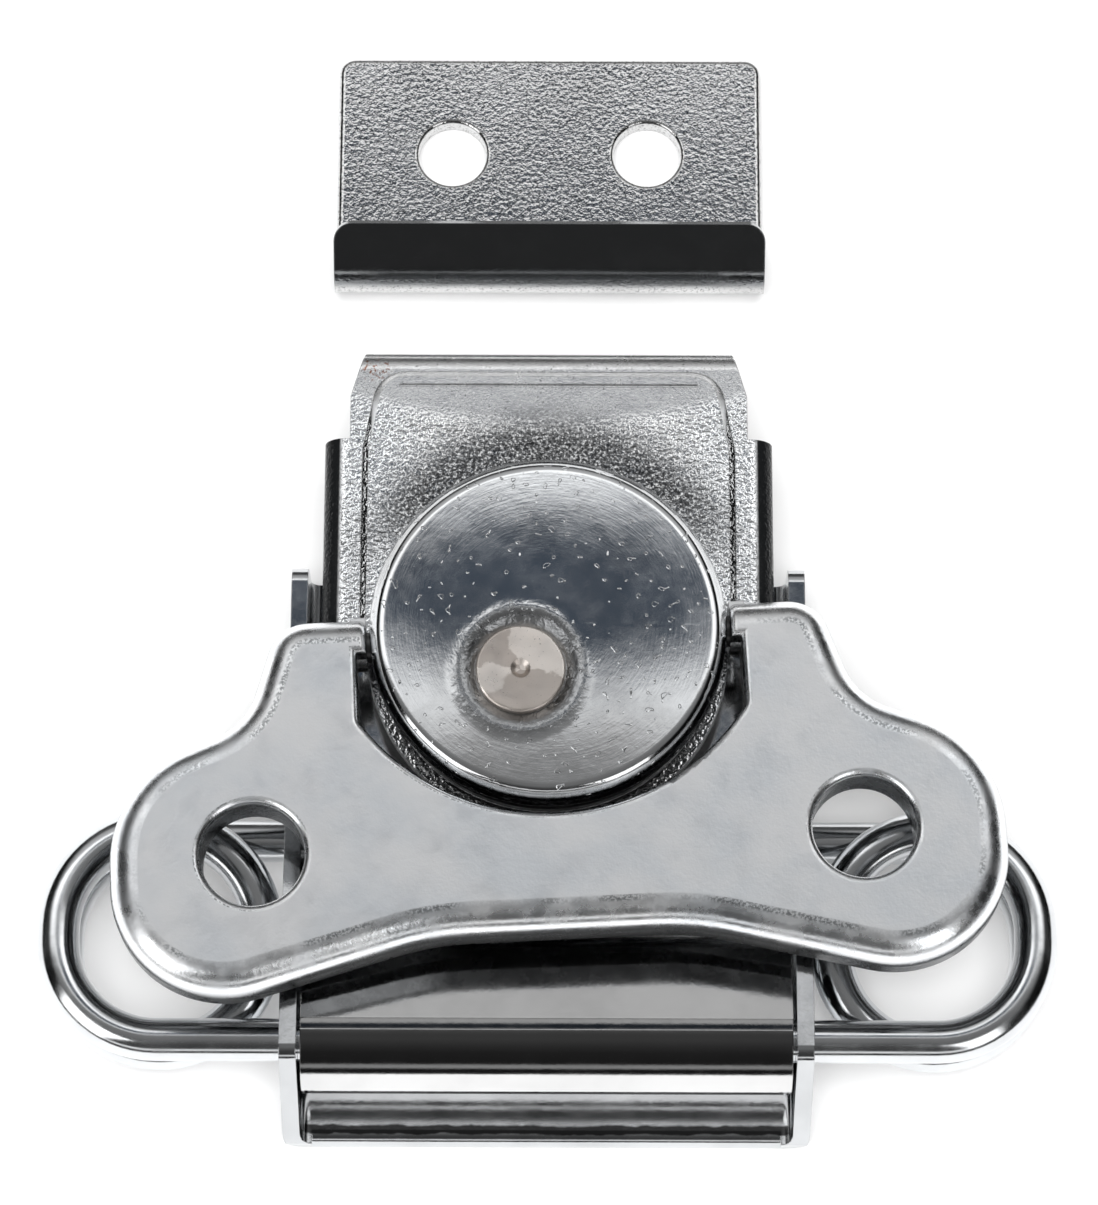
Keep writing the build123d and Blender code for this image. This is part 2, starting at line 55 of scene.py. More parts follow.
# %% Adding nodes and doing sums
def add_node(tree, kind, settings=None, **sockets):
    """A new node of that kind; a socket takes a number, a colour or another node's output."""
    made = tree.nodes.new(kind)
    for name, value in (settings or {}).items():
        setattr(made, name, value)
    for name, value in sockets.items():
        fill(tree, made.inputs[name.replace("_", " ")], value)
    return made


def fill(tree, socket, value):
    """Links an output to the socket, or sets a plain value on it."""
    if isinstance(value, bpy.types.NodeSocket):
        tree.links.new(value, socket)
    else:
        socket.default_value = value


def sums(tree, operation, *values):
    """One Math node; values are numbers or outputs, in order."""
    made = add_node(tree, "ShaderNodeMath", {"operation": operation})
    for socket, value in zip(made.inputs, values):
        fill(tree, socket, value)
    return made.outputs["Value"]


def product(tree, first, *others):
    """All of the values multiplied together."""
    for value in others:
        first = sums(tree, "MULTIPLY", first, value)
    return first


# %% Ramps and colours
def stretch(tree, value, start, end, low=0.0, high=1.0):
    """Value from start..end laid smoothly onto low..high."""
    made = add_node(
        tree,
        "ShaderNodeMapRange",
        {"interpolation_type": "SMOOTHSTEP"},
        Value=value,
        From_Min=start,
        From_Max=end,
        To_Min=low,
        To_Max=high,
    )
    return made.outputs["Result"]


def between(tree, value, rise, fall):
    """1 between two ramps and 0 outside them; rise and fall are each (start, end)."""
    return product(tree, stretch(tree, value, *rise), stretch(tree, value, *fall, 1.0, 0.0))


def mix_colours(tree, factor, first, second):
    """First where factor is 0, second where it is 1."""
    made = add_node(tree, "ShaderNodeMix", {"data_type": "RGBA"})
    # The node keeps its sockets for every data type, so its colour ones are found by number
    for index, value in ((0, factor), (6, first), (7, second)):
        fill(tree, made.inputs[index], value)
    return made.outputs[2]


def grey(level, blue=0.0):
    """A metal's colour: a grey with a little more blue than red."""
    return (level * (1 - blue), level, level * (1 + blue), 1.0)


WHITE = (1.0, 1.0, 1.0, 1.0)

# %% [markdown]
# ## Grain and bump
# Plating copies the sheet under it. A rolled sheet leaves fine grain, a pressed one an orange
# peel, and handling leaves clouds and pits. Each of these is noise at its own size: `size` says
# how wide one grain is in millimetres. Grain this small is bump, since modelling it would take
# millions of faces.


# %% Noise at a real size
def place_of(tree):
    """The point being shaded, in the object's own space, in metres."""
    return tree.nodes.new("ShaderNodeTexCoord").outputs["Object"]


def grain(tree, place, size, detail=2.0, roughness=0.55):
    """Noise whose grains are about size millimetres wide."""
    made = add_node(
        tree,
        "ShaderNodeTexNoise",
        Vector=place,
        Scale=1 / (size * MM),
        Detail=detail,
        Roughness=roughness,
    )
    return made.outputs["Fac"]


def raise_bump(tree, height, depth, under):
    """A bump of depth millimetres where height is 1, laid over the normal given."""
    made = add_node(
        tree, "ShaderNodeBump", Height=height, Distance=depth * MM, Strength=1.0, Normal=under
    )
    return made.outputs["Normal"]


# %% [markdown]
# ## The plated finish
# Every visible piece is steel with a bright plating, so one recipe serves them all, with its own
# numbers for each piece: the colour, how sharply it mirrors, how deep the grain is, and how many
# dark pits it has. The edge of a cut sheet is never quite sharp, and a Bevel node rounds the
# light on it by a tenth of a millimetre, which gives each edge its bright line.


# %% Plated finish
CLOUD_SIZE, HANDLING_SIZE, PIT_SIZE = 7.0, 2.3, 0.17
EDGE_ROUNDING = 0.12
PIT_COLOUR = grey(0.06)


def plated(name, colour, worn, rough, peel, fine, pits=0.0, calm=None):
    """Plated steel. peel and fine are (grain size, depth) in millimetres; pits is a share.

    calm is a function of (tree, place) that says how much of the peel there is at a place: none
    at 0, all of it at 1, and more above 1, where the sheet was crumpled.
    """
    material = bpy.data.materials.new(name)
    material.use_nodes = True
    tree = material.node_tree
    shader = tree.nodes["Principled BSDF"]
    shader.inputs["Metallic"].default_value = 1.0
    place = place_of(tree)
    cloud = grain(tree, place, CLOUD_SIZE, detail=4.0)
    tone = mix_colours(tree, stretch(tree, cloud, 0.35, 0.7), colour, worn)
    if pits:
        speck = grain(tree, place, PIT_SIZE, detail=2.0, roughness=0.7)
        pit = stretch(tree, speck, 0.66 - pits * 0.2, 0.78 - pits * 0.2)
        tone = mix_colours(tree, product(tree, pit, 0.75), tone, PIT_COLOUR)
    fill(tree, shader.inputs["Base Color"], tone)
    handled = grain(tree, place, HANDLING_SIZE, detail=5.0, roughness=0.65)
    worn_rough = stretch(tree, handled, 0.3, 0.75, rough * 0.75, rough * 1.35)
    fill(tree, shader.inputs["Roughness"], worn_rough)
    rounded = add_node(tree, "ShaderNodeBevel", {"samples": 4}, Radius=EDGE_ROUNDING * MM)
    depth_here = stretch(tree, cloud, 0.3, 0.7, 0.55, 1.0)
    if calm is not None:
        depth_here = product(tree, depth_here, calm(tree, place))
    peel_height = product(tree, grain(tree, place, peel[0], detail=1.0), depth_here)
    normal = raise_bump(tree, peel_height, peel[1], rounded.outputs["Normal"])
    normal = raise_bump(tree, grain(tree, place, fine[0], detail=2.0), fine[1], normal)
    fill(tree, shader.inputs["Normal"], normal)
    return material


def finish_node(name, material):
    """Gives a CAD node that finish in place of its plain one."""
    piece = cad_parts[name]
    piece.data.materials.clear()
    piece.data.materials.append(material)
    print(name, "is now", material.name)


# %% [markdown]
# ## Adding to a finish
# Wear, dirt, painted shade and painted sheen lie on top of a finish that is already there. These
# helpers find what feeds a socket of a finish so far, and lay the next layer over it. Others say
# where a point is and which way its face looks, because most marks sit at a place on the piece or
# on one side of a bend.


# %% Layers over a finish
def shader_of(material):
    return material.node_tree.nodes["Principled BSDF"]


def fed_by(material, name):
    """The output that feeds this socket of the finish so far."""
    return shader_of(material).inputs[name].links[0].from_socket


def paint_over(material, share, colour):
    """Lays a colour over the finish, as much as share says at each point."""
    tree = material.node_tree
    under = fed_by(material, "Base Color")
    fill(tree, shader_of(material).inputs["Base Color"], mix_colours(tree, share, under, colour))


def press_over(material, height, depth):
    """Lays a bump of depth millimetres over those that the finish has."""
    tree = material.node_tree
    under = fed_by(material, "Normal")
    fill(tree, shader_of(material).inputs["Normal"], raise_bump(tree, height, depth, under))


# %% Where a point is and which way it faces
def millimetres(tree, place):
    """The three coordinates of a place, in millimetres."""
    parts = add_node(tree, "ShaderNodeSeparateXYZ", Vector=place)
    return [sums(tree, "DIVIDE", parts.outputs[axis], MM) for axis in "XYZ"]


def facing_of(tree):
    """The X, Y and Z of the way that the surface faces, in the object's own space."""
    normal = tree.nodes.new("ShaderNodeTexCoord").outputs["Normal"]
    parts = add_node(tree, "ShaderNodeSeparateXYZ", Vector=normal)
    return [parts.outputs[axis] for axis in "XYZ"]


def degrees_of(tree, radians):
    return product(tree, radians, 180 / math.pi)


def distance_of(tree, across, along):
    """The distance from the place where across and along are both 0."""
    squares = sums(tree, "ADD", product(tree, across, across), product(tree, along, along))
    return sums(tree, "SQRT", squares)


# %% [markdown]
# ## Wing
# The wing is the smoothest and palest piece: a satin plating with hardly any grain. The die that
# turned its rim down polished it. A thin, grainy dark line where the bend starts is painted: it is
# a painted dark reflection. Both follow the slope of the surface: the finish reads how far each
# point's face leans from level, paints the dark line on the first degrees of the bend, and makes
# the rest of it shine. The walls below the bend are painted darker, as painted shade. A darker
# room would do that too, but it would darken every other wall as well.

# %% Satin wing with a shining rim
DARK_LINE_RISE, DARK_LINE_FALL = (1.5, 7.0), (8.0, 16.0)
WALL_LEAN = (60.0, 88.0)
wing_finish = plated(
    "wing_satin", grey(0.99, 0.008), grey(0.9, 0.035), 0.37, (0.5, 0.012), (0.16, 0.006)
)
wing_tree = wing_finish.node_tree
wing_place = place_of(wing_tree)
face_lean = degrees_of(wing_tree, sums(wing_tree, "ARCCOSINE", facing_of(wing_tree)[2]))
bend_start = between(wing_tree, face_lean, DARK_LINE_RISE, DARK_LINE_FALL)
dark_line_grain = stretch(wing_tree, grain(wing_tree, wing_place, 0.2, detail=3.0), 0.4, 0.58)
dark_line_length = stretch(wing_tree, grain(wing_tree, wing_place, 5.0), 0.44, 0.62, 0.12, 1.0)
painted_dark_line = product(wing_tree, dark_line_grain, dark_line_length, bend_start, 0.7)
# Painted dark reflection: a thin grainy line where the rim starts to bend.
paint_over(wing_finish, painted_dark_line, grey(0.12, 0.1))
# Painted shade: the walls below the bend.
paint_over(wing_finish, stretch(wing_tree, face_lean, *WALL_LEAN), grey(0.18, 0.03))
rim_shine = stretch(wing_tree, face_lean, 2.0, 30.0, 1.0, 0.7)
shining = product(wing_tree, fed_by(wing_finish, "Roughness"), rim_shine)
fill(wing_tree, shader_of(wing_finish).inputs["Roughness"], shining)
finish_node("wing_handle", wing_finish)

# %% [markdown]
# ## Carriage
# The plate inside the channel is bright, almost a mirror. Where it steps up and starts to curl
# round the wire it faces the dark space under the link, and is nearly black. Traced light gives
# part of that, and the rest is painted. The paint follows how far the face tips towards the
# keeper (more than 0 degrees) or away from it, and leaves out the flat of the plate.

# %% Bright carriage with a dark curl
CURL_RISE, CURL_FALL = (-50.0, -47.0), (10.5, 12.0)
FLAT_WITHIN = (0.1, 0.4)
carriage_finish = plated(
    "carriage_bright", grey(0.74), grey(0.66), 0.1, (0.5, 0.004), (0.15, 0.0015)
)
carriage_tree = carriage_finish.node_tree
_, facing_keeper, facing_up = facing_of(carriage_tree)
tipped = degrees_of(carriage_tree, sums(carriage_tree, "ARCTAN2", facing_keeper, facing_up))
curl = between(carriage_tree, tipped, CURL_RISE, CURL_FALL)
not_flat = stretch(carriage_tree, sums(carriage_tree, "ABSOLUTE", tipped), *FLAT_WITHIN)
paint_over(carriage_finish, product(carriage_tree, curl, not_flat, 0.85), grey(0.1))
finish_node("carriage_plate", carriage_finish)

# %% [markdown]
# ## Base
# The channel is bright too, and a little greyer. A thin dark line across the floor near its open
# end is a painted dark reflection. It is painted by the distance from that end, which is read from
# the frame, and noise moves the line to and fro by a quarter of a millimetre so that it isn't
# ruled.

# %% Bright base with a painted dark line
DARK_BAND_RISE, DARK_BAND_FALL = (0.65, 0.8), (1.25, 1.45)
FLOOR_HEIGHT = (1.3, 1.6)
base_finish = plated(
    "base_bright", grey(0.68, 0.02), grey(0.58, 0.02), 0.12, (0.6, 0.006), (0.15, 0.002)
)
base_tree = base_finish.node_tree
base_place = place_of(base_tree)
_, base_y, base_z = millimetres(base_tree, base_place)
from_end = sums(base_tree, "SUBTRACT", base_y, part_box("base_channel")[0].y / MM)
waver = product(base_tree, grain(base_tree, base_place, 1.6, detail=3.0), 0.5)
line_place = sums(base_tree, "ADD", from_end, sums(base_tree, "SUBTRACT", waver, 0.25))
painted_dark_band = between(base_tree, line_place, DARK_BAND_RISE, DARK_BAND_FALL)
on_floor = stretch(base_tree, base_z, *FLOOR_HEIGHT, 1.0, 0.0)
# Painted dark reflection: a thin line across the floor near the open end.
paint_over(base_finish, product(base_tree, painted_dark_band, on_floor, 0.93), grey(0.02))
finish_node("base_channel", base_finish)

# %% [markdown]
# ## Link
# The link was pressed from a coarser sheet, whose grain breaks every reflection into light and
# dark specks. The pad near its tip is smooth, so there the grain is calmed. The lower edge of the
# pad hangs like a bowl, which a parabola over X follows.

# %% Grained link with a smooth pad
PAD_EDGE_Y, PAD_EDGE_BEND = 25.3, 0.0122


def below_the_pad(tree, place):
    """1 on the link's lower part, 0 on the smooth pad near its tip."""
    x, y, _ = millimetres(tree, place)
    bowl = sums(tree, "ADD", product(tree, x, x, PAD_EDGE_BEND), PAD_EDGE_Y)
    return stretch(tree, sums(tree, "SUBTRACT", bowl, y), -1.0, 0.8)


def link_peel(tree, place):
    return sums(tree, "ADD", product(tree, below_the_pad(tree, place), 0.9), 0.1)


link_finish = plated(
    "link_grained",
    grey(0.94, 0.005),
    grey(0.86, 0.005),
    0.11,
    (0.3, 0.1),
    (0.14, 0.009),
    pits=0.3,
    calm=link_peel,
)
finish_node("draw_link", link_finish)

# %% [markdown]
# ## Flanges and panel edges of the link
# The two side flanges look black, while the sheet beside them is pale. Both are painted: the
# flanges black, as a painted dark reflection, and the sheet beside them paler, as a painted
# sheen. Plated metal seen edge-on always glints, so black paint alone would leave the flanges
# grey: they also lose most of their metal and shine. The edges of the raised panel are made
# duller, so that they catch less light below the pad. On the real one they fade out there, which
# the modelled panel doesn't.

# %% Painted dark flanges, painted pale sides and dull edges
FLANGE_FROM, PANEL_WITHIN = (13.4, 13.8), (12.6, 12.9)
link_tree = link_finish.node_tree
link_place = place_of(link_tree)
link_x, link_y, _ = millimetres(link_tree, link_place)
link_side = sums(link_tree, "ABSOLUTE", link_x)
link_up = facing_of(link_tree)[2]
below_pad = below_the_pad(link_tree, link_place)
# Painted sheen: the sheet is painted paler towards its two sides, below the pad.
painted_pale_sheen = product(link_tree, stretch(link_tree, link_side, 8.0, 12.5), below_pad, 0.7)
# Painted dark reflection: the steep side flanges are painted nearly black.
flange_painted_dark = product(
    link_tree,
    stretch(link_tree, link_up, 0.93, 0.995, 1.0, 0.0),
    stretch(link_tree, link_side, *FLANGE_FROM),
)
dull_edge = product(
    link_tree,
    stretch(link_tree, link_side, *PANEL_WITHIN, 1.0, 0.0),
    stretch(link_tree, link_up, 0.93, 0.99, 1.0, 0.0),
    below_pad,
)
paint_over(link_finish, painted_pale_sheen, grey(0.92, 0.02))
paint_over(link_finish, flange_painted_dark, grey(0.012, 0.06))
pad_satin = product(link_tree, sums(link_tree, "SUBTRACT", 1.0, below_pad), 0.14)
dulled = sums(link_tree, "ADD", product(link_tree, dull_edge, 0.45), pad_satin)
link_rough = sums(link_tree, "ADD", fed_by(link_finish, "Roughness"), dulled)
edge_metal = sums(link_tree, "SUBTRACT", 1.0, product(link_tree, dull_edge, 0.6))
flange_metal = sums(link_tree, "SUBTRACT", 1.0, product(link_tree, flange_painted_dark, 0.85))
link_sockets = shader_of(link_finish).inputs
fill(link_tree, link_sockets["Roughness"], link_rough)
fill(link_tree, link_sockets["Metallic"], product(link_tree, edge_metal, flange_metal))
flange_shine = stretch(link_tree, flange_painted_dark, 0.0, 1.0, 0.5, 0.1)
fill(link_tree, link_sockets["Specular IOR Level"], flange_shine)
print("flanges from", FLANGE_FROM[0], "mm off the middle")

# %% [markdown]
# ## Painted reflection ring before the disc
# The link is dark in a ring in front of the disc, which is the disc's own reflection. Here it is a
# painted reflection, as the traced reflection alone came out too pale. It is broken up by fine
# grain, faint at the back and full towards the tip. The paint goes by place alone, so it also
# shows on the link's underside, which would need a test of the side that a point is on.

# %% Painted reflection ring on the link
RING_MIDDLE_Y, RING_REACH = 11.3, (12.8, 16.6)
ring_y = sums(link_tree, "SUBTRACT", link_y, RING_MIDDLE_Y)
from_ring_middle = distance_of(link_tree, link_x, ring_y)
# Painted reflection: a dark ring on the link in front of the disc.
painted_ring_reflection = product(
    link_tree,
    stretch(link_tree, from_ring_middle, *RING_REACH, 1.0, 0.0),
    stretch(link_tree, ring_y, 2.0, 9.0, 0.12, 1.0),
    stretch(link_tree, grain(link_tree, link_place, 0.22, detail=2.0), 0.36, 0.56, 0.35, 1.0),
)
paint_over(link_finish, painted_ring_reflection, grey(0.1, 0.02))
print("ring fades out", RING_REACH[1], "mm from its middle")

# %% [markdown]
# ## Rust at the link's corner
# A few rust dots sit at the left corner of the link's tip, where the plating was worn by the
# keeper. They are painted by place: noise, cut hard, and kept only within a millimetre or two of
# that corner.

# %% Rust dots
RUST_CORNER = (-12.6, 30.1, 9.0)
RUST = (0.42, 0.17, 0.09, 1.0)
corner_gap = add_node(link_tree, "ShaderNodeVectorMath", {"operation": "DISTANCE"})
fill(link_tree, corner_gap.inputs[0], link_place)
fill(link_tree, corner_gap.inputs[1], [side * MM for side in RUST_CORNER])
from_corner = corner_gap.outputs["Value"]
near_corner = stretch(link_tree, from_corner, 0.5 * MM, 1.5 * MM, 1.0, 0.0)
rust_dots = stretch(link_tree, grain(link_tree, link_place, 0.24, detail=2.0), 0.57, 0.64)
paint_over(link_finish, product(link_tree, near_corner, rust_dots), RUST)
print("rust about the point in mm:", RUST_CORNER)

# %% [markdown]
# ## Keeper
# The keeper is grained and pitted like the link. The press crumpled the grain in its bend and
# stretched the lip smooth above, so the depth of the grain follows the height. The lip is painted
# darker, a painted dark reflection of a dark part of the room that this scene doesn't have. The
# lip is painted darker, to match the photograph, whose room can't be seen.

# %% Grained keeper with a smooth lip
BEND_CRUMPLES, LIP_SMOOTHS = (1.0, 2.0), (3.0, 4.4)
LIP_PAINTED_REFLECTION = (2.6, 3.6)


def keeper_peel(tree, place):
    """How deep the keeper's grain is at each height: fivefold in the bend, a tenth on the lip."""
    height = millimetres(tree, place)[2]
    crumpled = stretch(tree, height, *BEND_CRUMPLES, 1.0, 5.0)
    return product(tree, crumpled, stretch(tree, height, *LIP_SMOOTHS, 1.0, 0.1))


keeper_finish = plated(
    "keeper_grained",
    grey(0.7),
    grey(0.6),
    0.1,
    (0.3, 0.014),
    (0.12, 0.007),
    pits=0.6,
    calm=keeper_peel,
)
keeper_tree = keeper_finish.node_tree
keeper_height = millimetres(keeper_tree, place_of(keeper_tree))[2]
# Painted dark reflection: the lip above the bend is painted darker.
paint_over(keeper_finish, stretch(keeper_tree, keeper_height, *LIP_PAINTED_REFLECTION), grey(0.3, 0.03))
finish_node("keeper_plate", keeper_finish)

# %% [markdown]
# ## Wire, hub, pins and washers
# The spring wire is drawn, so it is smooth and mirrors sharply. The turned hub and the small
# steel parts under the disc keep a plain brushed look, since hardly anything of them is seen.
# Their grey is painted very dark, as painted shade for the dark space under the disc.

# %% Finish the wire and the small parts
wire_finish = plated(
    "wire_drawn", grey(0.78, 0.02), grey(0.7, 0.02), 0.15, (1.2, 0.003), (0.3, 0.001)
)
# Painted shade: the steel under the disc is given a very dark grey.
shaded_steel_finish = plated("turned_steel_painted_shade", grey(0.16), grey(0.1), 0.36, (0.5, 0.004), (0.12, 0.002), 0.1)
finish_node("spring_wire", wire_finish)
for small_part in (
    "cam_hub",
    "hinge_pin_left",
    "hinge_pin_right",
    "retaining_washer",
    "rivet_washer",
    "thrust_washer",
):
    finish_node(small_part, shaded_steel_finish)

# %% [markdown]
# ## A stand-in for the spring wire
# When the latch is drawn tight, the wire's straight run moves towards the keeper while its two
# tails stay in the base's cheeks, and the coils between them take up the difference. A rigid
# piece would drag its tails through the cheeks. Here a copy of the same shape stands in for it,
# with its place baked into its points, and the CAD piece is hidden. The copy is not bent here.

# %% Wire copied in place of the CAD piece
bent_wire = bpy.data.objects.new("spring_wire_bent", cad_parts["spring_wire"].data.copy())
bpy.context.scene.collection.objects.link(bent_wire)
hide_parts("spring_wire")
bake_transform(bent_wire)
print("wire points:", len(bent_wire.data.vertices))

# %% [markdown]
# ## Cap disc
# The disc is polished with a turning buff, which leaves hairlines in arcs about its middle. Noise
# laid out by radius and angle follows those arcs: close together across them, and long along
# them. A few small nicks are bump too, and so is some extra roll at the rim, on top of the edge
# that is modelled.

# %% Polished disc with buffing arcs
ARC_WIDTH, ARCS_PER_RADIAN = 0.16, 5.0
ROLL_FROM, ROLL_DEPTH = 0.9, 0.36
disc_low, disc_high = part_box("cap_disc")
disc_middle = (disc_low + disc_high) / 2
disc_reach = (disc_high.x - disc_low.x) / 2
disc_finish = plated(
    "disc_polished", grey(0.76, 0.02), grey(0.68, 0.01), 0.1, (0.9, 0.004), (0.2, 0.0014)
)
disc_tree = disc_finish.node_tree
from_middle = add_node(disc_tree, "ShaderNodeVectorMath", {"operation": "SUBTRACT"})
fill(disc_tree, from_middle.inputs[0], place_of(disc_tree))
fill(disc_tree, from_middle.inputs[1], disc_middle)
parts = add_node(disc_tree, "ShaderNodeSeparateXYZ", Vector=from_middle.outputs["Vector"])
across, along = parts.outputs["X"], parts.outputs["Y"]
radius = distance_of(disc_tree, across, along)
arc_place = add_node(
    disc_tree,
    "ShaderNodeCombineXYZ",
    X=product(disc_tree, radius, 1 / (ARC_WIDTH * MM)),
    Y=product(disc_tree, sums(disc_tree, "ARCTAN2", along, across), ARCS_PER_RADIAN),
).outputs["Vector"]
arcs = add_node(
    disc_tree, "ShaderNodeTexNoise", Vector=arc_place, Scale=1.0, Detail=3.0, Roughness=0.6
)
nicks = stretch(disc_tree, grain(disc_tree, place_of(disc_tree), 0.55, detail=0.0), 0.73, 0.78)
rolled = stretch(disc_tree, sums(disc_tree, "DIVIDE", radius, disc_reach), ROLL_FROM, 1.0)
press_over(disc_finish, arcs.outputs["Fac"], 0.002)
press_over(disc_finish, nicks, 0.03)
press_over(disc_finish, product(disc_tree, rolled, rolled, -1.0), ROLL_DEPTH)
finish_node("cap_disc", disc_finish)
print("disc middle in mm:", [round(value / MM, 2) for value in disc_middle])

# %% [markdown]
# ## Rivet face
# The rivet's end was rolled over after plating, so it is bare metal: duller than the disc, and a
# little warm. Its face has two darker facets, one to the left and one below, with ragged borders.
# Their darkness is painted shade, laid by the angle about the rivet's axis, and noise frays that
# angle. The rivet's foot, under the carriage, gets the same facets, since the angle runs on
# through it.

# %% Bare rivet face
FRAY = 60.0
rivet_finish = plated(
    "rivet_bare",
    (0.99, 0.93, 0.87, 1.0),
    (0.93, 0.86, 0.8, 1.0),
    0.36,
    (2.2, 0.1),
    (0.2, 0.004),
    pits=0.05,
)
rivet_low, rivet_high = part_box("pivot_rivet")
rivet_middle = (rivet_low + rivet_high) / 2


def about_rivet(tree):
    """The distance from the rivet's axis in millimetres, and the angle about it in degrees."""
    x, y, _ = millimetres(tree, place_of(tree))
    right = sums(tree, "SUBTRACT", x, rivet_middle.x / MM)
    ahead = sums(tree, "SUBTRACT", y, rivet_middle.y / MM)
    return distance_of(tree, right, ahead), degrees_of(tree, sums(tree, "ARCTAN2", ahead, right))


rivet_tree = rivet_finish.node_tree
angle = about_rivet(rivet_tree)[1]
wobble = product(rivet_tree, grain(rivet_tree, place_of(rivet_tree), 1.1, detail=3.0), FRAY)
ragged = sums(rivet_tree, "ADD", angle, sums(rivet_tree, "SUBTRACT", wobble, FRAY / 2))
# Painted shade: two darker facets on the rivet's face, one to the left and one below.
left_facet_shade = between(rivet_tree, ragged, (108.0, 116.0), (166.0, 178.0))
lower_facet_shade = between(rivet_tree, ragged, (-150.0, -135.0), (-12.0, -4.0))
painted_facet_shade = product(rivet_tree, sums(rivet_tree, "MAXIMUM", left_facet_shade, lower_facet_shade), 0.55)
paint_over(rivet_finish, painted_facet_shade, (0.4, 0.34, 0.3, 1.0))
finish_node("pivot_rivet", rivet_finish)

# %% [markdown]
# ## Crumpled dimple
# Rolling the rivet over crumpled the disc's dimple round it, and took the polish off. A bump that
# fades out a few millimetres from the rivet's axis breaks the reflection there into a soft ring.
# The ring is also painted darker, as painted shade in the dimple.

# %% Crumpled, dull dimple in the disc, with painted shade
CRUMPLE_REACH, DIMPLE_SHADE_REACH, DULL_REACH = (3.4, 5.4), (4.0, 5.2), (3.6, 5.2)
from_rivet = about_rivet(disc_tree)[0]
crumpled = product(
    disc_tree,
    stretch(disc_tree, from_rivet, *CRUMPLE_REACH, 1.0, 0.0),
    grain(disc_tree, place_of(disc_tree), 1.3, detail=3.0, roughness=0.6),
)
press_over(disc_finish, crumpled, 0.16)
# Painted shade: the dimple round the rivet is painted darker.
painted_dimple_shade = stretch(disc_tree, from_rivet, *DIMPLE_SHADE_REACH, 0.85, 0.0)
paint_over(disc_finish, painted_dimple_shade, grey(0.3, 0.02))
dull_dimple = stretch(disc_tree, from_rivet, *DULL_REACH, 0.2, 0.0)
dimple_rough = sums(disc_tree, "ADD", fed_by(disc_finish, "Roughness"), dull_dimple)
fill(disc_tree, shader_of(disc_finish).inputs["Roughness"], dimple_rough)
print("dimple crumpled to", CRUMPLE_REACH[1], "mm from the rivet's axis")

# %% [markdown]
# ## Floor
# The latch lies on a plain white sheet. The sheet takes the latch's soft shadow as any surface
# would, and it also shines a little to the camera and in mirrors, by the Light Path node, so that
# it reads as white without more light on the metal.

# %% White floor
FLOOR_SIDE, FLOOR_DROP, FLOOR_GLOW = 6.0, 0.00005, 0.2
bpy.ops.mesh.primitive_plane_add(size=FLOOR_SIDE, location=(0, 0, -FLOOR_DROP))
floor = bpy.context.object
floor.name = "floor"
floor_finish = bpy.data.materials.new("white_sheet")
floor_finish.use_nodes = True
floor_tree = floor_finish.node_tree
floor_tree.nodes.clear()
matt = add_node(floor_tree, "ShaderNodeBsdfDiffuse", Color=(0.82, 0.82, 0.82, 1.0))
rays = floor_tree.nodes.new("ShaderNodeLightPath").outputs
mirrored = sums(floor_tree, "MAXIMUM", rays["Is Glossy Ray"], rays["Is Transmission Ray"])
seen = sums(floor_tree, "MAXIMUM", rays["Is Camera Ray"], mirrored)
glow = add_node(
    floor_tree, "ShaderNodeEmission", Color=WHITE, Strength=product(floor_tree, seen, FLOOR_GLOW)
)
both = floor_tree.nodes.new("ShaderNodeAddShader")
fill(floor_tree, both.inputs[0], matt.outputs["BSDF"])
fill(floor_tree, both.inputs[1], glow.outputs["Emission"])
add_node(floor_tree, "ShaderNodeOutputMaterial", Surface=both.outputs["Shader"])
floor.data.materials.append(floor_finish)
print("floor side in m:", floor.dimensions.x)

# %% [markdown]
# ## Studio
# Chrome has no colour of its own: it shows the room. The room here is a wide pale panel on the
# keeper's side (+Y) of straight up, with a narrow second panel low on the other side, in a dark
# studio. The sky's brightness is given by the angle at which a ray leans from straight up. It is
# a smooth ramp of nodes, not a picture, so the reflections stay clean at any size.

# %% Room as a band of light and dark
world = bpy.data.worlds.new("studio")
bpy.context.scene.world = world
world.use_nodes = True
sky = world.node_tree
sky.nodes.clear()
generated = sky.nodes.new("ShaderNodeTexCoord").outputs["Generated"]
direction = add_node(sky, "ShaderNodeSeparateXYZ", Vector=generated).outputs
lean_degrees = degrees_of(sky, sums(sky, "ARCTAN2", direction["Y"], direction["Z"]))
# Each line is a lean in degrees, more than 0 towards the keeper, and the brightness there
ROOM = (
    (-90, 0.02),
    (-77, 0.02),
    (-73, 0.7),
    (-68, 0.7),
    (-63, 0.03),
    (-38, 0.04),
    (-25, 0.07),
    (-10, 0.12),
    (0, 0.12),
    (10, 0.16),
    (14, 0.95),
    (20, 1.0),
    (30, 1.0),
    (35, 0.37),
    (44, 0.32),
    (54, 0.27),
    (64, 0.06),
    (90, 0.03),
)
ramp = sky.nodes.new("ShaderNodeValToRGB")
ramp_place = sums(sky, "ADD", sums(sky, "DIVIDE", lean_degrees, 180.0), 0.5)
fill(sky, ramp.inputs["Fac"], ramp_place)
stops = ramp.color_ramp.elements
for index, (degrees, level) in enumerate(ROOM):
    at = degrees / 180 + 0.5
    stop = stops[index] if index < len(stops) else stops.new(at)
    stop.position = at
    stop.color = (level, level, level, 1.0)
print("room stops:", len(stops))

# %% [markdown]
# ## Ends and hole of the panel
# A panel has ends, so the room darkens to the left and right, and steep sides of the latch go
# dark. The middle of the disc shows a dark oval, as if something stood between the light and the
# latch. The oval here is a hole in the panel, made from the angle off its middle, with a soft
# border.

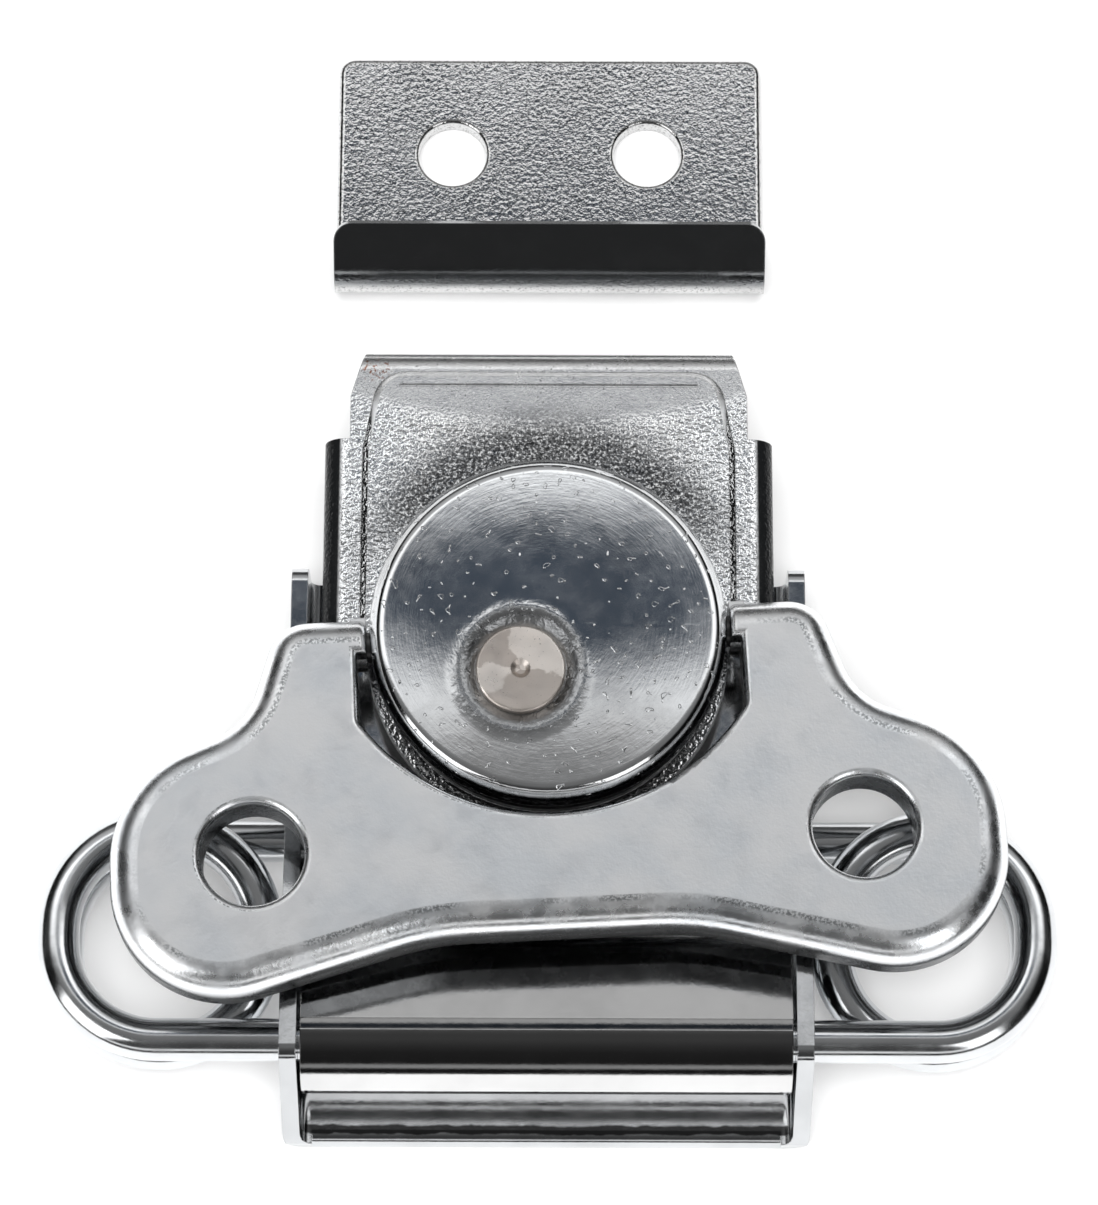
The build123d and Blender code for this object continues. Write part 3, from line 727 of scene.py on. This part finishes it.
# %% Dark sides and dark oval
PANEL_ENDS = (0.45, 0.75)
OVAL_LEAN, OVAL_HALF_HEIGHT, OVAL_HALF_WIDTH = 19.8, 7.0, 15.0
OVAL_BORDER = (0.55, 1.2)
ROOM_LEVEL = 1.5
inward = stretch(sky, sums(sky, "ABSOLUTE", direction["X"]), *PANEL_ENDS, 1.0, 0.03)
above_oval = sums(sky, "SUBTRACT", lean_degrees, OVAL_LEAN)
oval_up = sums(sky, "DIVIDE", above_oval, OVAL_HALF_HEIGHT)
beside_oval = degrees_of(sky, sums(sky, "ARCSINE", direction["X"]))
oval_across = sums(sky, "DIVIDE", beside_oval, OVAL_HALF_WIDTH)
outside = stretch(sky, distance_of(sky, oval_up, oval_across), *OVAL_BORDER)
oval_tint = mix_colours(sky, outside, (0.035, 0.045, 0.06, 1.0), WHITE)
level_grey = product(sky, inward, ROOM_LEVEL, ramp.outputs["Color"])
level_here = add_node(sky, "ShaderNodeVectorMath", {"operation": "MULTIPLY"})
fill(sky, level_here.inputs[0], level_grey)
fill(sky, level_here.inputs[1], oval_tint)
to_camera = sky.nodes.new("ShaderNodeLightPath").outputs["Is Camera Ray"]
sky_level = mix_colours(sky, to_camera, level_here.outputs["Vector"], WHITE)
back = add_node(sky, "ShaderNodeBackground", Color=sky_level, Strength=1.0)
add_node(sky, "ShaderNodeOutputWorld", Surface=back.outputs["Background"])
print("oval leans", OVAL_LEAN, "degrees from straight up")

# %% [markdown]
# ## Lamps
# One large soft lamp overhead gives the floor its light and each piece its soft shadow. It is
# kept out of mirrors, where the room does that work. Two tall lamps low in front put the white
# arcs on the edge of the disc and on the rims that face the viewer.


# %% Soft lamps
def soft_lamp(name, place, width, height, power):
    """A soft area lamp at place, facing the latch; lengths in metres, power in watts."""
    data = bpy.data.lights.new(name, "AREA")
    data.shape = "RECTANGLE"
    data.size = width
    data.size_y = height
    data.energy = power
    lamp = bpy.data.objects.new(name, data)
    bpy.context.scene.collection.objects.link(lamp)
    lamp.location = place
    facing = LATCH_MIDDLE - Vector(place)
    lamp.rotation_euler = facing.to_track_quat("-Z", "Y").to_euler()
    return lamp


LATCH_MIDDLE = Vector((0, 0.01, 0))
overhead = soft_lamp("overhead", (0.0, -0.25, 1.6), 1.1, 1.1, 25.0)
overhead.visible_glossy = False
front_left = soft_lamp("front_left", (-0.7, -0.5, 0.6), 0.6, 0.95, 3.2)
front_right = soft_lamp("front_right", (0.5, -0.68, 0.65), 0.4, 0.8, 1.7)
print("lamps:", overhead.name, front_left.name, front_right.name)

# %% [markdown]
# ## Camera
# The photograph was taken from about a third of a metre away, leaning 18 degrees towards the
# spring side. Both come from a fit to the photograph, so they are estimates. The lens is given as
# a focal length in the picture's own pixels, which turns into millimetres on the sensor with the
# picture's long side.

# %% Camera at the photograph's angle
PICTURE_WIDTH, PICTURE_HEIGHT = 1098, 1205
FOCAL_PIXELS = 4299.0
distance = 315.7 * MM
tilt = math.radians(17.99)
aim_x, aim_y = 0.06 * MM, 15.03 * MM
roll = math.radians(-0.2)
lens = bpy.data.cameras.new("camera")
lens.sensor_width = 36.0
lens.lens = lens.sensor_width * FOCAL_PIXELS / max(PICTURE_WIDTH, PICTURE_HEIGHT)
lens.clip_start = 0.01
lens.clip_end = 20.0
camera = bpy.data.objects.new("camera", lens)
bpy.context.scene.collection.objects.link(camera)
camera.location = (aim_x, aim_y - distance * math.sin(tilt), distance * math.cos(tilt))
camera.rotation_mode = "XYZ"
camera.rotation_euler = (tilt, 0.0, 0.0)
camera.rotation_euler.rotate_axis("Z", -roll)
bpy.context.scene.camera = camera
bpy.context.scene.view_settings.view_transform = "Standard"
print("lens in mm:", round(lens.lens, 2))
